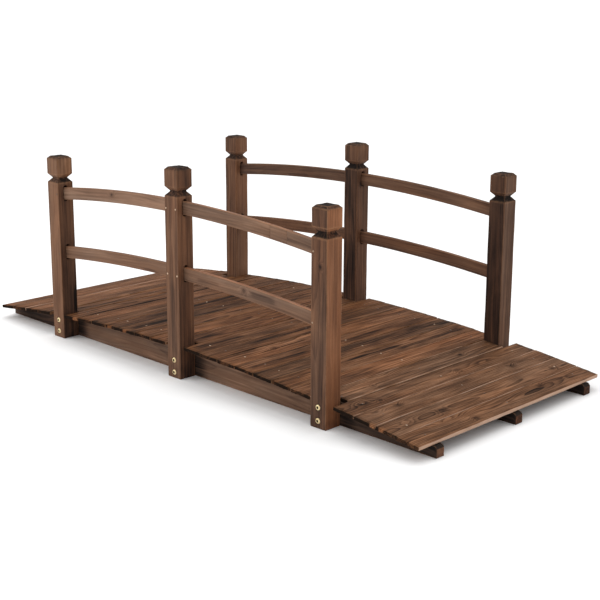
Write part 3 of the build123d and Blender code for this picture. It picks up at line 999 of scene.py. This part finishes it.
DARK_TOP = (-0.08, 0.3, 0.0)
post("near_left_post", [(0.13, 0.1, 0.3), (-0.08, 0.1, 0.05), (0.0, 0.1, 0.1), (0.04, 0.1, 0.1), DARK_TOP], (1,),
     scorches=[("+X", 17, 75, 120, 6, 0.9)], low=(-0.02, -0.24, 0, 0), head=(0.03, 0.30, 0.05, 0.05), rub=0.5)
post("near_middle_post", [(0.04, 0.1, 0.3), (0.04, 0.25, 0.1), (0.0, 0.1, 0.1), (0.0, 0.1, 0.1), DARK_TOP], (-1, 1),
     scorches=[("-Y", 2, 60, 230, 12, 0.3)], low=(0, -0.25, 0, 0), head=(-0.04, -0.08, 0, 0), rub=0.35)
post("near_right_post", [(-0.07, 0.2, 0.25), (0.23, 0.9, 0.0), (0.0, 0.1, 0.1), (0.0, 0.1, 0.1), DARK_TOP], (-1,),
     scorches=[("-Y", 8, 70, 190, 9, 0.2)], low=(0, -0.13, 0, 0), head=(-0.06, 0.04, 0, 0), groove=0.95, rub=0.9,
     knots=[("-Y", 4, 352, 3.5)])
post("far_left_post", [(-0.05, 0.1, 0.1), (0.06, 0.15, 0.0), (0.0, 0.1, 0.1), (0.0, 0.1, 0.1), DARK_TOP], (1,), rub=0.5)
post("far_middle_post", [(-0.24, 0.1, 0.0), (-0.07, 0.15, 0.1), (0.0, 0.1, 0.1), (0.0, 0.1, 0.1), DARK_TOP], (-1, 1),
     head=(0.18, 0.04, 0, 0), knots=[("+X", -8, 398, 4)], groove=0.8, rub=0.5)
post("far_right_post", [(-0.37, 0.15, 0.0), (-0.05, 0.1, 0.4), (0.0, 0.1, 0.1), (0.0, 0.1, 0.1), DARK_TOP], (-1,),
     low=(-0.06, 0, 0, 0), head=(0.14, 0.0, 0, 0), groove=0.8, rub=0.5)


# ---------------------------------------------------------------- bolts, nuts and nails


def lathe(prof, m=36):
    """Points and faces of a surface turned round the axis. prof is (radius, height) in mm; a radius may be a function of the angle."""
    verts, faces = [], []
    for rr, h in prof:
        for k in range(m):
            a = 2 * math.pi * k / m
            q = rr(a) if callable(rr) else rr
            verts.append((q * math.cos(a), q * math.sin(a), h))
    for j in range(len(prof) - 1):
        for k in range(m):
            a, b = j * m + k, j * m + (k + 1) % m
            faces.append((a, b, b + m, a + m))
    faces.append(tuple(range(m))[::-1])
    faces.append(tuple(range((len(prof) - 1) * m, len(prof) * m)))
    return np.array(verts, float), faces


def hexagon(flat):
    """Radius of a hexagon, flat millimetres across, at an angle."""

    def at(a):
        s = math.radians(60)
        t = (a % s) - s / 2
        return flat / 2 / math.cos(t)

    return at


def blend_r(r0, f, k):
    return lambda a: r0 * (1 - k) + f(a) * k


def place(verts, centre, axis):
    """Turned points with their axis along +Z moved to stand on centre (metres), along axis."""
    z = Vector(axis).normalized()
    x = z.orthogonal().normalized()
    y = z.cross(x)
    m = np.array([x, y, z]).T
    return verts * MM @ m.T + np.array(centre)


def closed(ob):
    outward(ob)
    return ob


def bolt(name, x, face_y, z, outer, inner_y):
    """A round-headed furniture bolt through a post and a stringer, its hexagon-socket head pressed into the post."""
    hx = hexagon(6.0)
    base = -1.85
    head = [
        (6.0, base - 2.2), (6.1, base), (6.45, base + 0.35), (6.5, base + 0.8), (6.2, base + 1.7), (5.5, base + 2.5), (4.7, base + 2.95),
        (4.2, base + 3.15), (3.7, base + 3.2), (blend_r(3.3, hx, 0.6), base + 3.05), (hx, base + 2.7), (hx, base - 1.2),
        (blend_r(1.4, hx, 0.4), base - 1.5), (0.5, base - 1.6),
    ]
    v, f = lathe(head, 48)
    pts = [place(v, (x, face_y, z), (0, outer, 0))]
    faces = [tuple(int(i) for i in q) for q in f]
    ob = mesh_object(name, np.concatenate(pts), faces)
    closed(ob)
    ob.data.set_sharp_from_angle(angle=math.radians(35))
    # painted shade: the dark stain colour fills the hexagon socket and the part of the head sunk in its seat
    put(ob, "stain_and_shade", np.repeat([1.0, 0.8, 0.15] + [0.0] * 6 + [0.1, 0.9, 1.0, 1.0, 1.0], 48))
    piece(ob, None, M_BRASS)
    # washer, nut and the shank's end on the stringer's inner face
    rim = [(9.0, 0.0), (9.3, 0.3), (9.3, 1.1), (9.0, 1.4), (3.4, 1.4)]
    v1, f1 = lathe(rim, 36)
    nx = hexagon(10.0)
    nut = [(blend_r(4.6, nx, 0.7), 1.4), (nx, 2.0), (nx, 5.6), (blend_r(4.6, nx, 0.6), 6.2), (3.3, 6.3)]
    v2, f2 = lathe(nut, 36)
    shank = [(3.0, 6.2), (3.0, 8.0), (2.6, 8.6), (0.6, 8.7)]
    v3, f3 = lathe(shank, 24)
    allv, allf, at = [], [], 0
    for vv, ff in ((v1, f1), (v2, f2), (v3, f3)):
        allv.append(place(vv, (x, inner_y, z), (0, -outer, 0)))
        allf += [tuple(int(i) + at for i in q) for q in ff]
        at += len(vv)
    nut_ob = mesh_object(name + "_nut", np.concatenate(allv), allf)
    closed(nut_ob)
    nut_ob.data.set_sharp_from_angle(angle=math.radians(35))
    put(nut_ob, "stain_and_shade", np.full(at, 0.12))
    piece(nut_ob, None, M_BRASS)


for row_name in ("near", "far"):
    for at_name in ("left", "middle", "right"):
        node = f"{row_name}_{at_name}_post"
        lo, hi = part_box(node)
        outer = -1 if row_name == "near" else 1
        face_y = lo.y if outer < 0 else hi.y
        slo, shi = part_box(row_name + "_stringer")
        inner_y = shi.y if outer < 0 else slo.y
        for which, z in zip(("upper", "lower"), BOLT_Z["middle" if at_name == "middle" else "end"]):
            bolt(f"{node}_{which}_bolt", (lo.x + hi.x) / 2, face_y, z * MM, outer, inner_y)


NAIL = [(1.0, -1.5), (1.8, -0.6), (2.15, -0.1), (2.2, 0.12), (1.95, 0.30), (1.35, 0.42), (0.7, 0.47), (0.2, 0.48)]


def nails(name, spots, dull=None):
    """A row of nails as one piece. Each spot is a point on the wood's face and the way it faces."""
    allv, allf, at = [], [], 0
    v, f = lathe(NAIL, 20)
    stain_and_shade = []
    for k, (point, axis) in enumerate(spots):
        stain_and_shade += [dull[k] if dull else smooth(0.45, 0.9, rnd(name, k, "stain"))] * len(v)
        tilt = Vector((rnd(name, k, "x") - 0.5, rnd(name, k, "y") - 0.5, rnd(name, k, "z") - 0.5)) * 0.22
        allv.append(place(v * (0.9 + 0.2 * rnd(name, k)), point, Vector(axis) + tilt))
        allf += [tuple(int(i) + at for i in q) for q in f]
        at += len(v)
    ob = mesh_object(name, np.concatenate(allv), allf)
    outward(ob)
    put(ob, "stain_and_shade", np.array(stain_and_shade))
    return piece(ob, None, M_STEEL)


# the deck nails that still show bright, as x in mm; the rest are stained over
BRIGHT = {
    "near": (-379, -255, -182, -124, 65, 182, 299, 672),
    "middle": (-259, -191, 248, 302, 366, 426, 546),
    "far": (-198, 243, 305, 546, 667),
}
for row_name, y in (("near", -0.268), ("middle", 0.0), ("far", 0.2705)):
    spots, dull = [], []
    for node in BOARDS:
        lo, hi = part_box(node)
        xc = (lo.x + hi.x) / 2
        px = xc + (rnd(node, row_name, "nx") - 0.5) * 0.016
        seen = [b * MM for b in BRIGHT[row_name] if abs(b * MM - xc) < 0.026]
        if seen:
            px = seen[0]
        dull.append(0.12 + 0.3 * rnd(node, row_name, "d") if seen else 0.75 + 0.25 * rnd(node, row_name, "d"))
        py = y + (rnd(node, row_name, "ny") - 0.5) * 0.010
        slope = px / DECK_R
        spots.append(((px, py, float(deck_top(px)) - 0.25 * MM), (math.sin(slope), 0, math.cos(slope))))
    nails(f"deck_nails_{row_name}", spots, dull)

for row_name in ("near", "far"):
    spots, dull = [], []
    for at_name in ("left", "middle", "right"):
        node = f"{row_name}_{at_name}_post"
        lo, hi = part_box(node)
        outer = -1 if row_name == "near" else 1
        face_y = lo.y if outer < 0 else hi.y
        sides = {"left": (1,), "middle": (-1, 1), "right": (-1,)}[at_name]
        for s in sides:
            for crown, radius in RAIL_CURVES.values():
                xr = (lo.x + hi.x) / 2 + s * 17.3 * MM
                z = crown - (radius - math.sqrt(radius**2 - xr**2)) - 15.7 * MM
                spots.append(((xr + (rnd(node, s, crown) - 0.5) * 0.002, face_y, z + (rnd(node, s, crown, "z") - 0.5) * 0.006), (0, outer, 0)))
                dull.append({"left": 0.95, "middle": 0.05, "right": 0.4}[at_name])
    nails(f"rail_nails_{row_name}", spots, dull)


# ---------------------------------------------------------------- floor, light and camera

floor_me = D.meshes.new("studio_floor")
R_FLOOR = 400.0
floor_me.from_pydata(
    [(-R_FLOOR, -R_FLOOR, 0), (R_FLOOR, -R_FLOOR, 0), (R_FLOOR, R_FLOOR, 0), (-R_FLOOR, R_FLOOR, 0)], [], [(0, 1, 2, 3)]
)
floor = D.objects.new("studio_floor", floor_me)
floor.location.z = -0.0004
SCENE.collection.objects.link(floor)
fm = D.materials.new("studio_floor")
fm.use_nodes = True
ft = Tree(fm.node_tree)
fs = ft.new("ShaderNodeBsdfPrincipled")
fs.inputs["Base Color"].default_value = (0.96, 0.96, 0.96, 1)
fs.inputs["Roughness"].default_value = 0.85
fs.inputs["Specular IOR Level"].default_value = 0.1
fo = ft.new("ShaderNodeOutputMaterial")
ft.link(fs.outputs[0], fo.inputs[0])
floor_me.materials.append(fm)
floor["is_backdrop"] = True

world = D.worlds.new("studio")
SCENE.world = world
world.use_nodes = True
bg = world.node_tree.nodes["Background"]
bg.inputs[0].default_value = (1.0, 1.0, 1.0, 1)
bg.inputs[1].default_value = 0.89


def area(name, loc, target, size, power, color=(1, 1, 1)):
    light = D.lights.new(name, "AREA")
    light.shape = "RECTANGLE"
    light.size, light.size_y = size
    light.energy = power
    light.color = color
    ob = D.objects.new(name, light)
    ob.location = loc
    ob.rotation_mode = "QUATERNION"
    ob.rotation_quaternion = (Vector(target) - Vector(loc)).to_track_quat("-Z", "Y")
    SCENE.collection.objects.link(ob)
    return ob


def sun(name, toward, strength, spread):
    light = D.lights.new(name, "SUN")
    light.energy = strength
    light.angle = math.radians(spread)
    ob = D.objects.new(name, light)
    ob.rotation_mode = "QUATERNION"
    ob.rotation_quaternion = Vector(toward).to_track_quat("-Z", "Y")
    SCENE.collection.objects.link(ob)
    return ob


sun("overhead", (0.25, -0.35, -0.95), 1.12, 60)
area("key", (-2.2, -2.4, 1.9), (-0.3, 0, 0.25), (1.6, 1.6), 26)

cam_data = D.cameras.new("camera")
cam = D.objects.new("camera", cam_data)
SCENE.collection.objects.link(cam)
AZ, EL, ROLL = math.radians(43.723), math.radians(13.887), math.radians(0.545)
back = Vector((math.sin(AZ) * math.cos(EL), -math.cos(AZ) * math.cos(EL), math.sin(EL)))
right = (-back).cross(Vector((0, 0, 1))).normalized()
up = right.cross(-back).normalized()
cam_right = right * math.cos(ROLL) + up * math.sin(ROLL)
cam_up = -right * math.sin(ROLL) + up * math.cos(ROLL)
rot = Matrix((cam_right, cam_up, back)).transposed()
cam.matrix_world = Matrix.Translation((2.17492, -2.08651, 0.92968)) @ rot.to_4x4()
cam_data.sensor_width = 36.0
cam_data.lens = 73.4057
cam_data.shift_x = -25 / 600
cam_data.shift_y = -20.4 / 600
cam_data.clip_start, cam_data.clip_end = 0.05, 1500
SCENE.camera = cam
SCENE.view_settings.view_transform = "Standard"

lo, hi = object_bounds()
